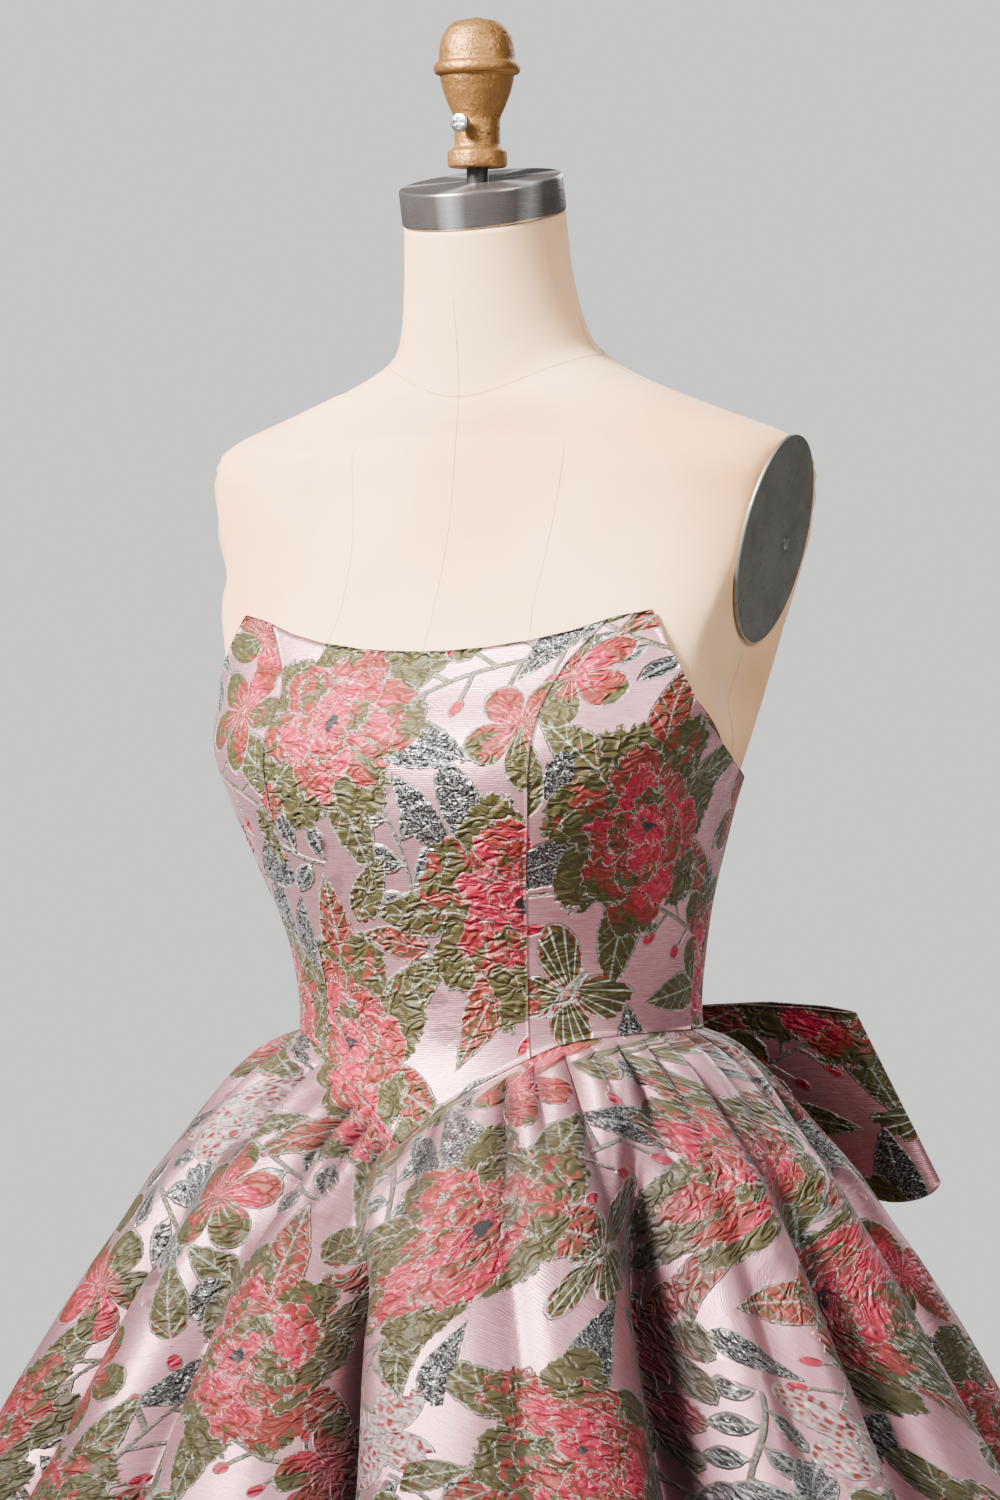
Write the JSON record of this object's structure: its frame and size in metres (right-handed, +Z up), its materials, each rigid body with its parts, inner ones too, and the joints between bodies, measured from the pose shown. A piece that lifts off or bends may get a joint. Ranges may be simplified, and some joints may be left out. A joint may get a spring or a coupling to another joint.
{
  "type": "homecoming dress on a dress form",
  "caption": "Strapless floral brocade homecoming dress with basque waist, full gathered skirt and back bow, on a limbless linen dress form with stand.",
  "frame": {"origin": "middle of the underside of the stand's base plate, on the floor under the pole", "axes": "+Z up along the pole; the form and the dress face -Y; +X is the wearer's left"},
  "size_m": [0.8495, 0.8359, 1.584],
  "materials": {
    "brocade": "pink satin jacquard with raised woven flowers, soft sheen",
    "linen": "fine matt linen cover",
    "brushed_steel": "brushed, bright rolled edge",
    "aged_steel": "dark, worn, faintly pitted",
    "cast_brass": "rough cast, dull",
    "zinc": "zinc plated",
    "black_paint": "black satin paint",
    "white_paint": "off-white satin paint"
  },
  "bodies": {
    "root": {"bodice_front_centre": "brocade", "bodice_side_front_left": "brocade", "bodice_side_front_right": "brocade", "bodice_side_back_left": "brocade", "bodice_side_back_right": "brocade", "bodice_back_left": "brocade", "bodice_back_right": "brocade", "skirt_front": "brocade", "skirt_back_left": "brocade", "skirt_back_right": "brocade", "bow_loop_left": "brocade", "bow_loop_right": "brocade", "bow_knot": "brocade", "form_torso": "linen", "neck_cap": "brushed_steel", "arm_plate_left": "aged_steel", "arm_plate_right": "aged_steel", "finial": "cast_brass", "set_screw": "zinc", "arm_plate_screw_left": "zinc", "arm_plate_screw_right": "zinc", "neck_rod": "black_paint", "pole": "white_paint", "base_plate": "white_paint"}
  },
  "joints": []
}
